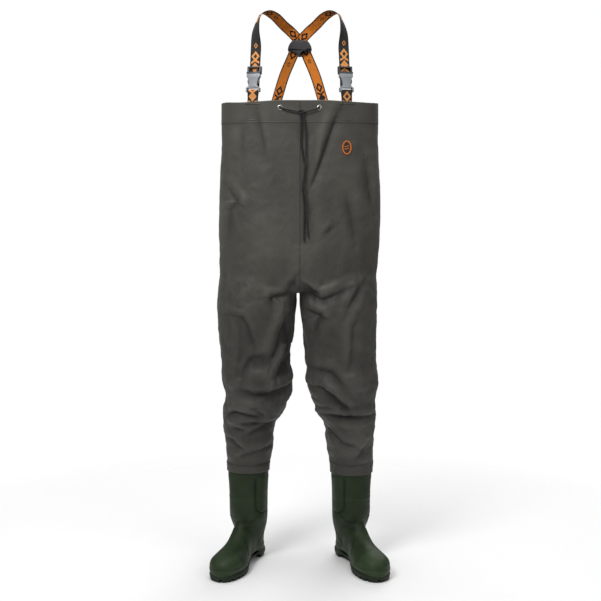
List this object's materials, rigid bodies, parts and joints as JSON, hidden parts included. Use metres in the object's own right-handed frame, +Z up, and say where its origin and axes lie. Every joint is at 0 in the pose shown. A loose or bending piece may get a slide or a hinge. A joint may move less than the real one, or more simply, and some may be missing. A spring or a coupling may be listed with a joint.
{
  "type": "chest waders",
  "caption": "Chest-high fabric waders with welded rubber boots, crossed webbing braces, side-release buckles and a hem drawcord.",
  "frame": {"origin": "on the ground, midway between the two boots", "axes": "+X to the wearer's left, -Y to the front, +Z up"},
  "size_m": [0.4992, 0.2958, 1.6176],
  "materials": {
    "fabric": "matt coated woven nylon, dark olive grey",
    "seam_tape": "matt welded tape",
    "rubber": "satin moulded dark green",
    "sole": "matt moulded dark green",
    "lining": "knitted grey green lining",
    "insole": "grey felt",
    "webbing": "woven orange and charcoal webbing",
    "buckle": "satin grey moulded plastic",
    "patch": "matt charcoal",
    "cord": "braided black",
    "eyelet": "nickel plated",
    "badge": "matt moulded badge"
  },
  "bodies": {
    "waders": {"front_panel_left": "fabric", "back_panel_left": "fabric", "side_seam_tape_left": "seam_tape", "inseam_tape_left": "seam_tape", "eyelet_left": "eyelet", "eyelet_washer_left": "eyelet", "drawcord_front_left": "cord", "drawcord_tail_left": "cord", "boot_upper_left": "rubber", "boot_lining_left": "lining", "insole_left": "insole", "outsole_left": "sole", "boot_joint_tape_left": "seam_tape", "front_tab_left": "webbing", "buckle_socket_left": "buckle", "shoulder_strap_left": "webbing", "front_panel_right": "fabric", "back_panel_right": "fabric", "side_seam_tape_right": "seam_tape", "inseam_tape_right": "seam_tape", "eyelet_right": "eyelet", "eyelet_washer_right": "eyelet", "drawcord_front_right": "cord", "drawcord_tail_right": "cord", "boot_upper_right": "rubber", "boot_lining_right": "lining", "insole_right": "insole", "outsole_right": "sole", "boot_joint_tape_right": "seam_tape", "front_tab_right": "webbing", "buckle_socket_right": "buckle", "shoulder_strap_right": "webbing", "seam_tape_front": "seam_tape", "seam_tape_back": "seam_tape", "hem_facing": "fabric", "drawcord_in_hem": "cord", "drawcord_knot": "cord", "badge": "badge", "cross_patch_inner": "patch", "cross_patch_outer": "patch"},
    "plug_left": {"buckle_plug_left": "buckle"},
    "prong_left_inner": {"buckle_prong_left_inner": "buckle"},
    "prong_left_outer": {"buckle_prong_left_outer": "buckle"},
    "plug_right": {"buckle_plug_right": "buckle"},
    "prong_right_inner": {"buckle_prong_right_inner": "buckle"},
    "prong_right_outer": {"buckle_prong_right_outer": "buckle"}
  },
  "joints": [
    {"name": "plug_slide_left", "type": "slide", "parent": "waders", "child": "plug_left", "axis": [-0.0431, 0.1323, 0.9903], "range_m": [0, 0.04]},
    {"name": "prong_squeeze_left_inner", "type": "hinge", "parent": "plug_left", "child": "prong_left_inner", "pos_m": [0.11649, -0.05912, 1.42773], "axis": [0.3069, -0.9415, 0.1392], "range_deg": [0, 8], "stiffness_Nm_per_rad": 0.4},
    {"name": "prong_squeeze_left_outer", "type": "hinge", "parent": "plug_left", "child": "prong_left_outer", "pos_m": [0.13874, -0.05187, 1.42773], "axis": [-0.3069, 0.9415, -0.1392], "range_deg": [0, 8], "stiffness_Nm_per_rad": 0.4},
    {"name": "plug_slide_right", "type": "slide", "parent": "waders", "child": "plug_right", "axis": [0.0431, 0.1323, 0.9903], "range_m": [0, 0.04]},
    {"name": "prong_squeeze_right_inner", "type": "hinge", "parent": "plug_right", "child": "prong_right_inner", "pos_m": [-0.11649, -0.05912, 1.42773], "axis": [0.3069, 0.9415, -0.1392], "range_deg": [0, 8], "stiffness_Nm_per_rad": 0.4},
    {"name": "prong_squeeze_right_outer", "type": "hinge", "parent": "plug_right", "child": "prong_right_outer", "pos_m": [-0.13874, -0.05187, 1.42773], "axis": [-0.3069, -0.9415, 0.1392], "range_deg": [0, 8], "stiffness_Nm_per_rad": 0.4}
  ]
}
